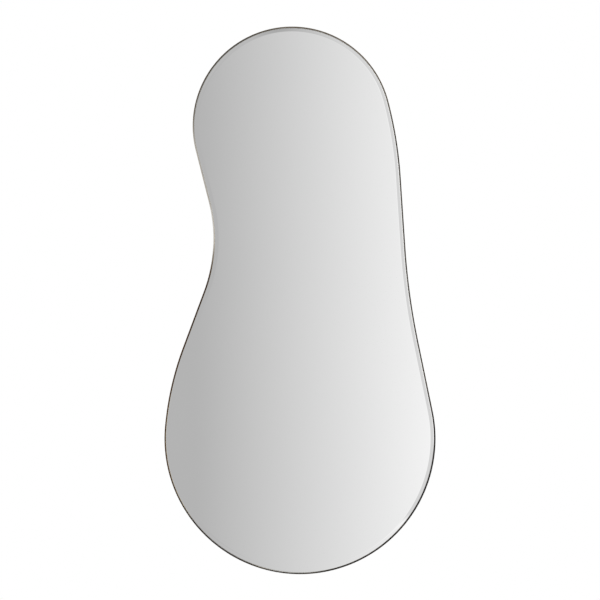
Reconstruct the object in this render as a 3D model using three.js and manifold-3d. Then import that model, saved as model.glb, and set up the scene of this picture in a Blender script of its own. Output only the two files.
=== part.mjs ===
// A free-form wall mirror in a thin flat-strip frame, hung by two D-rings on its back.
//
// Millimetres, +Z up. The mirror faces -Y, +X is on its right as seen from the front, and the
// origin lies on the wall plane y = 0, at half the height and in line with the bowl's centre.
// The outline is a closed chain of tangent arcs, and everything that follows it is an inset of it.

import * as THREE from 'three';
import { mergeVertices } from 'three/addons/utils/BufferGeometryUtils.js';
import Module from 'manifold-3d';

const wasm = await Module();
wasm.setup();

// ---- Driving dimensions, in millimetres and degrees ----

// Outline, measured on the outer face of the strip.
const HEIGHT = 1000;
const CROWN_RADIUS = 181.5; // round top
const CROWN_SHIFT = -14.5; // the crown's centre, from the bowl's centre line
const BOWL_RADIUS = 247.5; // round bottom
const WAIST_RADIUS = 275; // hollow on the left
const NECK_STRAIGHT = 97; // straight from the crown to the waist
const HIP_STRAIGHT = 110; // straight from the waist to the hip
const HIP_RADIUS = 550; // flatter arc from the hip straight to the bowl
const HIP_ANGLE = 175; // where the hip meets the bowl, seen from the bowl's centre
const SHOULDER_RADIUS = 720; // flatter arc under the crown on the right
const SHOULDER_ANGLE = 15; // where it meets the crown, seen from the crown's centre
const FLANK_RADIUS = 1260; // slight hollow on the right
const FLANK_STRAIGHT = 130; // straights below and above the flank

// Facets of round shapes.
const FACET_HEIGHT = 0.15; // how far a facet of the outline may lie inside its true arc
const SCREW_SIDES = 12;
const WIRE_SIDES = 8;
const BUMPER_SIDES = 20;

// Strip frame.
const STRIP_THICKNESS = 2;
const STRIP_CHAMFER = 0.5;

// Layers inside the strip, from the front. Together they make the strip 22 deep.
const REVEAL = 2; // the strip stands this far in front of the glass
const GLASS_THICKNESS = 4;
const GLASS_CLEARANCE = 0.5;
const BEVEL_WIDTH = 7;
const BEVEL_DROP = 0.4;
const ARRIS = 0.5; // ground corner outside the bevel
const TAPE_THICKNESS = 1;
const TAPE_WIDTH = 25;
const TAPE_COUNT = 5;
const TAPE_PITCH = 190;
const TAPE_MARGIN = 30; // bare board beyond each end of a tape
const BOARD_THICKNESS = 9;
const BOARD_CLEARANCE = 0.8;
const RECESS = 6; // behind the board, inside the strip
const WALL_GAP = 2; // from the strip's rear edge to the wall

// Tabs welded to the strip, and the screws that all the fittings share.
const TAB_COUNT = 8;
const TAB_WIDTH = 18;
const TAB_REACH = 22;
const TAB_RISE = 5;
const TAB_THICKNESS = 1.5;
const TAB_HOLE_REACH = 13; // from the strip to the screw
const WELD_GAP = 0.3;
const SCREW_RADIUS = 1.6;
const SCREW_POINT = 2.5;
const HEAD_RADIUS = 3.2;
const HEAD_TOP_RADIUS = 2.2;
const HEAD_EDGE = 1; // height of the head's straight side
const HEAD_HEIGHT = 1.9;
const TIP_COVER = 3; // board left in front of a screw's tip
const HOLE_CLEARANCE = 0.3;
const CUT_OVERRUN = 1; // how far a hole's tool runs past the face that it opens

// Hangers.
const HANGER_SPACING = 200;
const HANGER_DROP = 210; // from the top of the mirror to the pivots
const STRAP_WIDTH = 14;
const STRAP_THICKNESS = 1.2;
const STRAP_WRAP = 250; // how far the strap is rolled round the ring's bar
const STRAP_HOLE_PITCH = 15;
const RING_TO_HEAD = 3; // from the hanging ring to the head of the first screw
const RING_WIRE_RADIUS = 1.4;
const RING_PLAY = 0.35;
const RING_SIDE_PLAY = 0.8;
const RING_CORNER = 2; // bend radius at the ends of the bar
const RING_LEG = 10; // from the bar to the ring's round end

// Bumpers.
const BUMPER_RADIUS = 9;
const BUMPER_FACE_RADIUS = 7.5;
const BUMPER_EDGE = 0.8;
const BUMPER_INSET = 45; // from the outline to a bumper's centre
const BUMPER_ANGLES = { crown: [50, 140], bowl: [220, 320] };

// ---- Places that follow from them ----

const BAND_BACK = -WALL_GAP;
const BOARD_BACK = BAND_BACK - RECESS;
const BOARD_FRONT = BOARD_BACK - BOARD_THICKNESS;
const GLASS_BACK = BOARD_FRONT - TAPE_THICKNESS;
const GLASS_FRONT = GLASS_BACK - GLASS_THICKNESS;
const BAND_FRONT = GLASS_FRONT - REVEAL;
const BORE_RADIUS = RING_WIRE_RADIUS + RING_PLAY;
const ROLL_RADIUS = BORE_RADIUS + STRAP_THICKNESS;
const PIVOT_Y = BOARD_BACK + ROLL_RADIUS;
const PIVOT_Z = HEIGHT / 2 - HANGER_DROP;
const RING_HALF_WIDTH = STRAP_WIDTH / 2 + RING_SIDE_PLAY + RING_WIRE_RADIUS; // to the wire's centre
const RING_END = RING_LEG + RING_HALF_WIDTH + RING_WIRE_RADIUS; // below the pivot

// ---- Materials ----

function finish(color, roughness, metalness) {
  return () => new THREE.MeshStandardMaterial({ color, roughness, metalness });
}
const agedBronze = finish(0x3b2f24, 0.45, 0.9);
const silveredGlass = finish(0xd4d6d8, 0.03, 1);
const fibreboard = finish(0xa98a66, 0.85, 0);
const whiteFoam = finish(0xe8e8e4, 0.9, 0);
const zincSteel = finish(0xb4b6b8, 0.35, 0.95);
const blackRubber = finish(0x1b1b1c, 0.8, 0);

// ---- Outline ----

const radians = THREE.MathUtils.degToRad;

function polar(centre, radius, angle) {
  return new THREE.Vector2(Math.cos(angle), Math.sin(angle)).multiplyScalar(radius).add(centre);
}

function direction(from, to) {
  return Math.atan2(to.y - from.y, to.x - from.x);
}

// The point at two given distances from two centres, on the left of the way from a to b.
function meet(a, fromA, b, fromB) {
  const span = a.distanceTo(b);
  const along = (fromA ** 2 - fromB ** 2 + span ** 2) / (2 * span);
  const aside = Math.sqrt(fromA ** 2 - along ** 2);
  const way = direction(a, b);
  return polar(polar(a, along, way), aside, way + Math.PI / 2);
}

// The arcs run anticlockwise as seen from the front. A hollow arc turns the other way, so its
// end angle is below its start. Points are (x, z).
function outlineArcs() {
  const crown = new THREE.Vector2(CROWN_SHIFT, HEIGHT / 2 - CROWN_RADIUS);
  const bowl = new THREE.Vector2(0, BOWL_RADIUS - HEIGHT / 2);
  const hip = polar(bowl, BOWL_RADIUS - HIP_RADIUS, radians(HIP_ANGLE));
  const shoulder = polar(crown, CROWN_RADIUS - SHOULDER_RADIUS, radians(SHOULDER_ANGLE));
  const neckRadii = CROWN_RADIUS + WAIST_RADIUS;
  const hipRadii = HIP_RADIUS + WAIST_RADIUS;
  const bowlRadii = BOWL_RADIUS + FLANK_RADIUS;
  const shoulderRadii = SHOULDER_RADIUS + FLANK_RADIUS;
  const waist = meet(
    hip, Math.hypot(hipRadii, HIP_STRAIGHT), crown, Math.hypot(neckRadii, NECK_STRAIGHT),
  );
  const flank = meet(
    shoulder, Math.hypot(shoulderRadii, FLANK_STRAIGHT), bowl, Math.hypot(bowlRadii, FLANK_STRAIGHT),
  );
  const neckNormal = direction(crown, waist) - Math.atan2(NECK_STRAIGHT, neckRadii);
  const hipNormal = direction(hip, waist) + Math.atan2(HIP_STRAIGHT, hipRadii);
  const bowlNormal = direction(bowl, flank) - Math.atan2(FLANK_STRAIGHT, bowlRadii);
  const shoulderNormal = direction(shoulder, flank) + Math.atan2(FLANK_STRAIGHT, shoulderRadii);
  const arcs = [
    { name: 'crown', centre: crown, radius: CROWN_RADIUS,
      start: radians(SHOULDER_ANGLE), end: neckNormal },
    { name: 'waist', centre: waist, radius: -WAIST_RADIUS,
      start: neckNormal + Math.PI, end: hipNormal + Math.PI },
    { name: 'hip', centre: hip, radius: HIP_RADIUS,
      start: hipNormal, end: radians(HIP_ANGLE) },
    { name: 'bowl', centre: bowl, radius: BOWL_RADIUS,
      start: radians(HIP_ANGLE), end: bowlNormal },
    { name: 'flank', centre: flank, radius: -FLANK_RADIUS,
      start: bowlNormal + Math.PI, end: shoulderNormal + Math.PI },
    { name: 'shoulder', centre: shoulder, radius: SHOULDER_RADIUS,
      start: shoulderNormal, end: radians(SHOULDER_ANGLE) },
  ];
  return arcs.map(withSweep);
}

// Adds an arc's signed sweep, less than a full turn: positive on a bulge, negative on a hollow.
function withSweep(arc) {
  const turn = 2 * Math.PI;
  const ahead = (((arc.end - arc.start) % turn) + turn) % turn;
  return { ...arc, sweep: arc.radius > 0 ? ahead : ahead - turn };
}

const ARCS = outlineArcs();

// A hollow arc has a negative radius, so that taking an inset off it makes its hollow wider.
function arcPoint(arc, share, inset) {
  return polar(arc.centre, Math.abs(arc.radius - inset), arc.start + share * arc.sweep);
}

function outline(inset) {
  return ARCS.flatMap((arc) => {
    const step = 2 * Math.acos(1 - FACET_HEIGHT / Math.abs(arc.radius));
    const count = Math.ceil(Math.abs(arc.sweep) / step);
    const first = followsStraight(arc) ? 0 : 1;
    return Array.from({ length: count + 1 - first }, (_, i) =>
      arcPoint(arc, (i + first) / count, inset));
  });
}

// An arc after a straight has a starting point of its own. Any other starts where the last ends.
function followsStraight(arc) {
  return ['waist', 'hip', 'flank', 'shoulder'].includes(arc.name);
}

// Where on the outline a piece at a share of its length goes: a point on the inset outline and
// the angle of the outward normal there. Straights belong to the arc that they lead up to.
function station(share, inset) {
  const points = outline(inset);
  const lengths = points.map((point, i) => point.distanceTo(points[(i + 1) % points.length]));
  let left = share * lengths.reduce((sum, length) => sum + length, 0);
  let index = 0;
  while (left > lengths[index]) {
    left -= lengths[index];
    index += 1;
  }
  const from = points[index];
  const to = points[(index + 1) % points.length];
  const way = direction(from, to);
  return { place: polar(from, left, way), normal: way - Math.PI / 2 };
}

// ---- Solids ----

// A geometry with shared corners and no sliver triangles, facing out.
function closed(geometry) {
  const bare = geometry.index ? geometry : geometry.clone();
  bare.deleteAttribute('normal');
  bare.deleteAttribute('uv');
  const merged = mergeVertices(bare, 1e-4);
  const corners = merged.index.array;
  const kept = [];
  for (let i = 0; i < corners.length; i += 3) {
    const [a, b, c] = corners.slice(i, i + 3);
    if (a !== b && b !== c && c !== a) kept.push(a, b, c);
  }
  merged.setIndex(volume(merged, kept) < 0 ? kept.reverse() : kept);
  return merged;
}

function volume(geometry, corners) {
  const at = geometry.attributes.position;
  const [a, b, c] = [new THREE.Vector3(), new THREE.Vector3(), new THREE.Vector3()];
  let sum = 0;
  for (let i = 0; i < corners.length; i += 3) {
    a.fromBufferAttribute(at, corners[i]);
    b.fromBufferAttribute(at, corners[i + 1]);
    c.fromBufferAttribute(at, corners[i + 2]);
    sum += a.dot(b.cross(c)) / 6;
  }
  return sum;
}

function toSolid(geometry) {
  const shape = closed(geometry);
  return new wasm.Manifold(new wasm.Mesh({
    numProp: 3,
    vertProperties: new Float32Array(shape.attributes.position.array),
    triVerts: new Uint32Array(shape.index.array),
  }));
}

function fromSolid(solid) {
  const mesh = solid.getMesh();
  const geometry = new THREE.BufferGeometry();
  geometry.setAttribute('position', new THREE.BufferAttribute(mesh.vertProperties, 3));
  geometry.setIndex(new THREE.BufferAttribute(mesh.triVerts, 1));
  return geometry;
}

function cut(body, tools) {
  return fromSolid(tools.reduce((left, tool) => left.subtract(toSolid(tool)), toSolid(body)));
}

function join(one, other) {
  return fromSolid(toSolid(one).add(toSolid(other)));
}

// Skins a row of loops that all have the same number of corners. Without caps, the last loop
// joins the first again.
function skin(loops, capped) {
  const count = loops[0].length;
  const corners = [];
  const walls = capped ? loops.length - 1 : loops.length;
  for (let i = 0; i < walls; i += 1) {
    const next = ((i + 1) % loops.length) * count;
    for (let j = 0; j < count; j += 1) {
      const along = (j + 1) % count;
      corners.push(i * count + j, next + j, i * count + along);
      corners.push(i * count + along, next + j, next + along);
    }
  }
  if (capped) {
    const last = (loops.length - 1) * count;
    for (const [a, b, c] of THREE.ShapeUtils.triangulateShape(flat(loops[0]), [])) {
      corners.push(a, b, c);
    }
    for (const [a, b, c] of THREE.ShapeUtils.triangulateShape(flat(loops.at(-1)), [])) {
      corners.push(last + a, last + c, last + b);
    }
  }
  const geometry = new THREE.BufferGeometry().setFromPoints(loops.flat());
  geometry.setIndex(corners);
  return closed(geometry);
}

function flat(loop) {
  return loop.map((point) => new THREE.Vector2(point.x, point.z));
}

// The outline at each [inset, y], from the front to the back.
function outlineLoops(levels) {
  return levels.map(([inset, y]) =>
    outline(inset).map((point) => new THREE.Vector3(point.x, y, point.y)));
}

// A turned piece whose axis lies along Y, from a profile of [radius, y].
function turned(profile, x, z, segments) {
  const points = profile.map(([radius, y]) => new THREE.Vector2(radius, y));
  return closed(new THREE.LatheGeometry(points, segments)).translate(x, 0, z);
}

// ---- Frame, glass, tape and board ----

function frameBand() {
  const inner = STRIP_THICKNESS - STRIP_CHAMFER;
  return skin(outlineLoops([
    [STRIP_CHAMFER, BAND_FRONT],
    [0, BAND_FRONT + STRIP_CHAMFER],
    [0, BAND_BACK - STRIP_CHAMFER],
    [STRIP_CHAMFER, BAND_BACK],
    [inner, BAND_BACK],
    [STRIP_THICKNESS, BAND_BACK - STRIP_CHAMFER],
    [STRIP_THICKNESS, BAND_FRONT + STRIP_CHAMFER],
    [inner, BAND_FRONT],
  ]), false);
}

function mirrorGlass() {
  const edge = STRIP_THICKNESS + GLASS_CLEARANCE;
  return skin(outlineLoops([
    [edge + BEVEL_WIDTH, GLASS_FRONT],
    [edge + ARRIS, GLASS_FRONT + BEVEL_DROP],
    [edge, GLASS_FRONT + BEVEL_DROP + ARRIS],
    [edge, GLASS_BACK],
  ]), true);
}

// The stretch in x that lies inside an outline at one height.
function spanAt(points, z) {
  const crossings = [];
  points.forEach((from, i) => {
    const to = points[(i + 1) % points.length];
    if ((from.y < z) !== (to.y < z)) {
      crossings.push(from.x + ((z - from.y) / (to.y - from.y)) * (to.x - from.x));
    }
  });
  return [Math.min(...crossings), Math.max(...crossings)];
}

function tape(z) {
  const inside = outline(STRIP_THICKNESS + BOARD_CLEARANCE + TAPE_MARGIN);
  const spans = [-TAPE_WIDTH / 2, 0, TAPE_WIDTH / 2].map((aside) => spanAt(inside, z + aside));
  const left = Math.max(...spans.map((span) => span[0]));
  const right = Math.min(...spans.map((span) => span[1]));
  return new THREE.BoxGeometry(right - left, TAPE_THICKNESS, TAPE_WIDTH)
    .translate((left + right) / 2, GLASS_BACK + TAPE_THICKNESS / 2, z);
}

function backingBoard(screws) {
  const edge = STRIP_THICKNESS + BOARD_CLEARANCE;
  const radius = SCREW_RADIUS + HOLE_CLEARANCE;
  const bottom = BOARD_FRONT + TIP_COVER - HOLE_CLEARANCE;
  const mouth = BOARD_BACK + CUT_OVERRUN;
  const pilot = [[0, bottom], [radius, bottom], [radius, mouth], [0, mouth]];
  return cut(
    skin(outlineLoops([[edge, BOARD_FRONT], [edge, BOARD_BACK]]), true),
    screws.map(({ place }) => turned(pilot, place.x, place.y, SCREW_SIDES)),
  );
}

// ---- Fittings ----

// A tab is modelled with its foot running inwards along +X from the strip, then turned to suit.
function frameTab() {
  const profile = new THREE.Shape([
    new THREE.Vector2(0, BOARD_BACK),
    new THREE.Vector2(TAB_REACH, BOARD_BACK),
    new THREE.Vector2(TAB_REACH, BOARD_BACK + TAB_THICKNESS),
    new THREE.Vector2(TAB_THICKNESS, BOARD_BACK + TAB_THICKNESS),
    new THREE.Vector2(TAB_THICKNESS, BOARD_BACK + TAB_RISE),
    new THREE.Vector2(0, BOARD_BACK + TAB_RISE),
  ]);
  const bent = new THREE.ExtrudeGeometry(profile, { depth: TAB_WIDTH, bevelEnabled: false })
    .translate(0, 0, -TAB_WIDTH / 2);
  return cut(bent, [screwHole(TAB_HOLE_REACH, 0, TAB_THICKNESS)]);
}

// How far a straight tab stands off the strip so that its ends clear a bulge.
function tabSeat() {
  const tightest = Math.min(CROWN_RADIUS, BOWL_RADIUS);
  return STRIP_THICKNESS + WELD_GAP + FACET_HEIGHT + TAB_WIDTH ** 2 / (8 * tightest);
}

function tabStations() {
  return Array.from({ length: TAB_COUNT }, (_, i) => {
    const { place, normal } = station((i + 0.5) / TAB_COUNT, tabSeat());
    return { place, inward: normal + Math.PI, screw: polar(place, -TAB_HOLE_REACH, normal) };
  });
}

// A hole right through a plate that lies on the board.
function screwHole(x, z, plate) {
  const radius = SCREW_RADIUS + HOLE_CLEARANCE;
  const from = BOARD_BACK - CUT_OVERRUN;
  const to = BOARD_BACK + plate + CUT_OVERRUN;
  return turned([[0, from], [radius, from], [radius, to], [0, to]], x, z, SCREW_SIDES);
}

// A pan head screw that holds a plate of some thickness down on the board.
function screw(place, plate) {
  const seat = BOARD_BACK + plate;
  const tip = BOARD_FRONT + TIP_COVER;
  return turned([
    [0, tip],
    [SCREW_RADIUS, tip + SCREW_POINT],
    [SCREW_RADIUS, seat],
    [HEAD_RADIUS, seat],
    [HEAD_RADIUS, seat + HEAD_EDGE],
    [HEAD_TOP_RADIUS, seat + HEAD_HEIGHT],
    [0, seat + HEAD_HEIGHT],
  ], place.x, place.y, SCREW_SIDES);
}

function strapHoles(x) {
  const first = PIVOT_Z - RING_END - RING_TO_HEAD - HEAD_RADIUS;
  return [0, 1].map((i) => new THREE.Vector2(x, first - i * STRAP_HOLE_PITCH));
}

// The flat of a strap is rounded about its last hole. Its top runs on into the roll.
function strapFlat(x) {
  const half = STRAP_WIDTH / 2;
  const end = strapHoles(x).at(-1).y - PIVOT_Z;
  const shape = new THREE.Shape();
  shape.moveTo(half, 0);
  shape.lineTo(-half, 0);
  shape.lineTo(-half, end);
  shape.absarc(0, end, half, Math.PI, 2 * Math.PI, false);
  shape.closePath();
  return new THREE.ExtrudeGeometry(
    shape, { depth: STRAP_THICKNESS, bevelEnabled: false, curveSegments: 6 },
  ).rotateX(Math.PI / 2).translate(x, BOARD_BACK + STRAP_THICKNESS, PIVOT_Z);
}

// The rolled end goes round the bar of the ring and stops short of the flat.
function strapRoll(x) {
  const half = STRAP_WIDTH / 2;
  const shape = new THREE.Shape();
  const end = Math.PI - radians(STRAP_WRAP);
  shape.moveTo(-ROLL_RADIUS, -ROLL_RADIUS);
  shape.lineTo(-ROLL_RADIUS, 0);
  shape.absarc(0, 0, ROLL_RADIUS, Math.PI, end, true);
  shape.absarc(0, 0, BORE_RADIUS, end, Math.PI, false);
  shape.lineTo(-BORE_RADIUS, -ROLL_RADIUS);
  shape.closePath();
  return new THREE.ExtrudeGeometry(
    shape, { depth: STRAP_WIDTH, bevelEnabled: false, curveSegments: 12 },
  ).applyMatrix4(new THREE.Matrix4().makeBasis(
    new THREE.Vector3(0, 1, 0), new THREE.Vector3(0, 0, 1), new THREE.Vector3(1, 0, 0),
  )).translate(x - half, PIVOT_Y, PIVOT_Z);
}

function hangerStrap(x) {
  return cut(
    join(strapFlat(x), strapRoll(x)),
    strapHoles(x).map((hole) => screwHole(hole.x, hole.y, STRAP_THICKNESS)),
  );
}

function bend(x, z, radius, start, end, steps) {
  const centre = new THREE.Vector2(x, z);
  return Array.from({ length: steps + 1 }, (_, i) =>
    polar(centre, radius, THREE.MathUtils.lerp(start, end, i / steps)));
}

// The wire's centre line, hanging down: a straight bar on top, two legs and a round end.
function ringPath() {
  const radius = RING_CORNER + RING_WIRE_RADIUS;
  const corner = RING_HALF_WIDTH - radius;
  return [
    ...bend(-corner, -radius, radius, Math.PI / 2, Math.PI, 4),
    ...bend(0, -RING_LEG, RING_HALF_WIDTH, Math.PI, 2 * Math.PI, 14),
    ...bend(corner, -radius, radius, 0, Math.PI / 2, 4),
  ];
}

function hangerRing(x) {
  const centres = ringPath();
  const loops = centres.map((point, i) => {
    const way = direction(centres.at(i - 1), centres[(i + 1) % centres.length]);
    return Array.from({ length: WIRE_SIDES }, (_, side) => {
      const around = ((side + 0.5) / WIRE_SIDES) * 2 * Math.PI;
      const rim = polar(point, RING_WIRE_RADIUS * Math.cos(around), way - Math.PI / 2);
      return new THREE.Vector3(rim.x, RING_WIRE_RADIUS * Math.sin(around), rim.y);
    });
  });
  return skin(loops, false).translate(x, PIVOT_Y, PIVOT_Z);
}

function bumper(centre) {
  return turned([
    [0, BOARD_BACK],
    [BUMPER_RADIUS, BOARD_BACK],
    [BUMPER_FACE_RADIUS, -BUMPER_EDGE],
    [BUMPER_FACE_RADIUS - BUMPER_EDGE, 0],
    [0, 0],
  ], centre.x, centre.y, BUMPER_SIDES);
}

function bumperCentres() {
  return ARCS.filter((arc) => arc.name in BUMPER_ANGLES).flatMap((arc) =>
    BUMPER_ANGLES[arc.name].map((angle) =>
      polar(arc.centre, arc.radius - BUMPER_INSET, radians(angle))));
}

// ---- Assembly ----

const mirror = new THREE.Group();

function add(name, geometry, material) {
  const piece = new THREE.Mesh(geometry, material());
  piece.name = name;
  mirror.add(piece);
  return piece;
}

const tabs = tabStations();
const hangers = [['left', -HANGER_SPACING / 2], ['right', HANGER_SPACING / 2]];
const boardScrews = [
  ...tabs.map((tab, i) =>
    ({ name: `tab_screw_${i + 1}`, place: tab.screw, plate: TAB_THICKNESS })),
  ...hangers.flatMap(([side, x]) => strapHoles(x).map((place, i) =>
    ({ name: `strap_screw_${side}_${i + 1}`, place, plate: STRAP_THICKNESS }))),
];

add('frame_band', frameBand(), agedBronze);
add('mirror_glass', mirrorGlass(), silveredGlass);
for (let i = 0; i < TAPE_COUNT; i += 1) {
  add(`foam_tape_${i + 1}`, tape(((TAPE_COUNT - 1) / 2 - i) * TAPE_PITCH), whiteFoam);
}
add('backing_board', backingBoard(boardScrews), fibreboard);
tabs.forEach((tab, i) => {
  const piece = add(`frame_tab_${i + 1}`, frameTab(), agedBronze);
  piece.position.set(tab.place.x, 0, tab.place.y);
  piece.rotation.y = -tab.inward;
});
for (const { name, place, plate } of boardScrews) {
  add(name, screw(place, plate), zincSteel);
}
for (const [side, x] of hangers) {
  add(`hanger_strap_${side}`, hangerStrap(x), zincSteel);
  add(`hanger_ring_${side}`, hangerRing(x), zincSteel);
}
bumperCentres().forEach((centre, i) => add(`bumper_${i + 1}`, bumper(centre), blackRubber));

export default mirror;
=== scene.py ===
# A free-form wall mirror in a thin strip frame of aged bronze, hung by two D-rings.
#
# Metres, +Z up. The mirror faces -Y, its back rests on the wall plane y = 0, and an inset is
# measured inwards from the outline, which is the outer face of the strip.

import math

import bmesh
import bpy
from mathutils import Matrix, Vector


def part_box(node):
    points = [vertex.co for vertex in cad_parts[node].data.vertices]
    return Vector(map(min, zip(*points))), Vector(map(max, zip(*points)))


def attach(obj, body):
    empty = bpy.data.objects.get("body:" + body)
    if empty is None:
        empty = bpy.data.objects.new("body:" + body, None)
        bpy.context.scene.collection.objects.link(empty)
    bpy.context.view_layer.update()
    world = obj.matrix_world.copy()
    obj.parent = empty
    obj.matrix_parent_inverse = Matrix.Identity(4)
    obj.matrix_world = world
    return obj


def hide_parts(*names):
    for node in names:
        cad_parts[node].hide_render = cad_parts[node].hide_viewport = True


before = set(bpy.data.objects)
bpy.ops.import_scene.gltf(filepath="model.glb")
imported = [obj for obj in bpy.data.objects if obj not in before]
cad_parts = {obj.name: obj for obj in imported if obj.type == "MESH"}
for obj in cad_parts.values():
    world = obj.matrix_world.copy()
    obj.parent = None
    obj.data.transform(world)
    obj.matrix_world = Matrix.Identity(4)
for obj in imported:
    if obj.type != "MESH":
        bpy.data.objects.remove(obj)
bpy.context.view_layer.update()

# ---- Sizes ----

# Outline.
HEIGHT = 1.0
CROWN_RADIUS = 0.1815
CROWN_SHIFT = -0.0145
BOWL_RADIUS = 0.2475
WAIST_RADIUS = 0.275
NECK_STRAIGHT = 0.097
HIP_STRAIGHT = 0.11
HIP_RADIUS = 0.55
HIP_ANGLE = math.radians(175)
SHOULDER_RADIUS = 0.72
SHOULDER_ANGLE = math.radians(15)
FLANK_RADIUS = 1.26
FLANK_STRAIGHT = 0.13
OUTLINE_PITCH = 0.0035  # length of one face along a curve of the outline

# Strip, glass and board.
STRIP_THICKNESS = 0.002
STRIP_ROUND = 0.0005
GLASS_EDGE = 0.0025  # inset of the glass
BEVEL_WIDTH = 0.007
BEVEL_SLOPE = math.radians(4)
BEVEL_EASE = 0.0018  # where the bevel runs softly into the flat
LIP_REACH = 0.0009  # where the bevel rolls over towards the edge of the glass
LIP_SLOPE = math.radians(11)
FRONT_ARRIS = 0.00025
BACK_ARRIS = 0.0003
SEALANT_DEPTH = 0.0025
SEALANT_CLIMB = 0.00015  # how far the bead climbs the glass and the strip
BOARD_EDGE = 0.0028  # inset of the board
BOARD_ROUND = 0.0004
FLAT_RIM = 0.001  # flat ring between a rounded rim and the face inside it
PILOT_RADIUS = 0.0019
PILOT_DEPTH = 0.0063
TAPE_BULGE = 0.3  # rounding of the tape's edges, as a part of its thickness

# Tabs.
TAB_WIDTH = 0.018
TAB_REACH = 0.022
TAB_THICKNESS = 0.0015
TAB_BEND = 0.0007  # inner radius
TAB_CORNER = 0.004
TAB_HOLE_REACH = 0.013  # from the strip to the screw
HOLE_RADIUS = 0.0019
HOLE_OVERRUN = 0.001  # how far a hole's tool runs past the plate
PLATE_ROUND = 0.0002

# Weld beads. Each is a row of drops.
BEAD_RADIUS = 0.0011
BEAD_SQUASH = 0.8  # length of a drop against its width
BEAD_PITCH = 0.0009
BEAD_DROPS = 5
BEAD_GRAIN = 0.00016
BEAD_FROM_STRIP = 0.1  # from the strip to the bead's middle, in bead radii
BEAD_FROM_TAB = 0.35  # and from the edge of the tab

# Screws.
SCREW_RADIUS = 0.0016
SCREW_POINT = 0.0025
SCREW_TIP = (0.3, 0.2)  # blunt tip, as parts of the shank's radius and the point's length
HEAD_RADIUS = 0.0032
HEAD_SEAT = 0.94  # radius of the face under the head, as a part of the head's
HEAD_SEAT_RISE = 0.0002
HEAD_EDGE = 0.0009
HEAD_HEIGHT = 0.0019
RECESS_LENGTH = 0.004
RECESS_WIDTH = 0.00095
RECESS_DEPTH = 0.0012
RECESS_TAPER = 0.45  # size of the cross at its bottom
SCREW_ROUND = 0.00008
SCREW_TURN = 0.7  # radians that the cross turns from one screw to the next

# Hangers.
STRAP_THICKNESS = 0.0012
STRAP_WRAP = math.radians(250)
STRAP_END = 0.999  # rounding of the strap's end, just short of a full half circle
WIRE_RADIUS = 0.0014
WIRE_CORNER = 0.003  # bend radius of the wire's centre line
WIRE_FLATS = math.cos(math.pi / 8)  # the frame's wire has eight flats, and measures this less

# Bumpers. The parts are of a bumper's radius, and those of the groove are of its face's.
BUMPER_PAD = 0.94  # adhesive pad
BUMPER_PAD_THICKNESS = 0.0006
BUMPER_FACE = 0.8
BUMPER_FOOT = (0.0006, 0.001)  # where the side starts to draw in, and where it has
BUMPER_FOOT_DRAW = 0.97
BUMPER_ROUND = 0.001
BUMPER_ROUND_START = math.radians(12)
GROOVE = (0.72, 0.69, 0.61, 0.58)
GROOVE_DEPTH = 0.0003

# Tolerances and axes.
SAME = 1e-5  # two places this near are the same
MERGE = 3e-5  # a sweep all round the outline ends this near to its start
X, Y, Z = range(3)

# Camera.
CAMERA_DISTANCE = 4.0
CAMERA_RISE = 0.0007  # the photograph's centre above the mirror's
PHOTO_HEIGHT_PX = 547.7  # of the mirror in the photograph
PHOTO_SIDE_PX = 600
SENSOR = 0.036

# Floor and surroundings.
WHITE = (1, 1, 1, 1)
FLOOR_PAINT = (0.82, 0.82, 0.82, 1)
FLOOR_SIZE = 3.0
FLOOR_HEIGHT = -0.85
FLOOR_FADE = (0.25, 0.48)  # where the floor turns white, as parts of its size
AMBIENT = 0.68
HORIZON = (-0.6, 0.5)  # where the reflected surroundings turn from grey to white
HORIZON_GREY = 0.6

# The reflector, a graded card behind the camera that only reflections show.
CARD_DISTANCE = 7.0
CARD_REACH = 16.0
CARD_LOW, CARD_TOP = -6.0, 10.0
CARD_LEFT, CARD_RIGHT = -0.53, 0.75  # where its light grows, from dark to bright
CARD_DARK, CARD_BRIGHT = 0.474, 0.995
CARD_BLEND = 0.06  # softens the dark end of the growth
CARD_FOOT = (-1.95, -1.5)  # below this its light is spread wider, so the bevel shows no step
CARD_SPREAD = 0.41
CARD_FOOT_END = (1.4, 2.0)  # where that wider spread ends on the right
CARD_FALL = 0.71  # what is left of the light past the right side and the top
CARD_SIDE = (0.75, 1.2)
CARD_HEAD = (1.65, 2.15)  # on the middle line
CARD_SLANT = 0.5  # the top lies lower towards the right
CARD_CORNER = (-0.75, -0.15)  # left of this the top doesn't fall off
CARD_CORNER_RISE = (1.3, 1.8)  # and above this it is lighter there
CARD_CORNER_LIGHT = 1.08
CARD_STRIPE = (1.7, 2.3, 2.9, 3.4)  # a bright stripe on the right, where it grows and ends
CARD_STRIPE_LIGHT = 1.9
CARD_STRIPE_FOOT = (-1.0, -0.7)  # below this the stripe is dark
CARD_STRIPE_FOOT_LIGHT = 0.8
CARD_EDGE = (-2.5, -1.9)  # left of this the card has three bands, from the lowest to the highest
CARD_EDGE_LIGHTS = (1.4, 1.05, 0.75)
CARD_EDGE_STEPS = ((-0.1, 0.6), (1.0, 1.4))  # from each band to the next

# Places of the frame.
FOOT = -HEIGHT / 2
BAND_FRONT, BAND_BACK = (corner.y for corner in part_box("frame_band"))
GLASS_FRONT, GLASS_BACK = (corner.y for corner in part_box("mirror_glass"))
BOARD_FRONT, BOARD_BACK = (corner.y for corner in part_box("backing_board"))
TAB_SCREWS = [f"tab_screw_{i + 1}" for i in range(8)]
STRAP_SCREWS = {
    side: [f"strap_screw_{side}_{i + 1}" for i in range(2)] for side in ("left", "right")
}
SCREWS = TAB_SCREWS + STRAP_SCREWS["left"] + STRAP_SCREWS["right"]

# ---- Nodes and primitives ----


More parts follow.
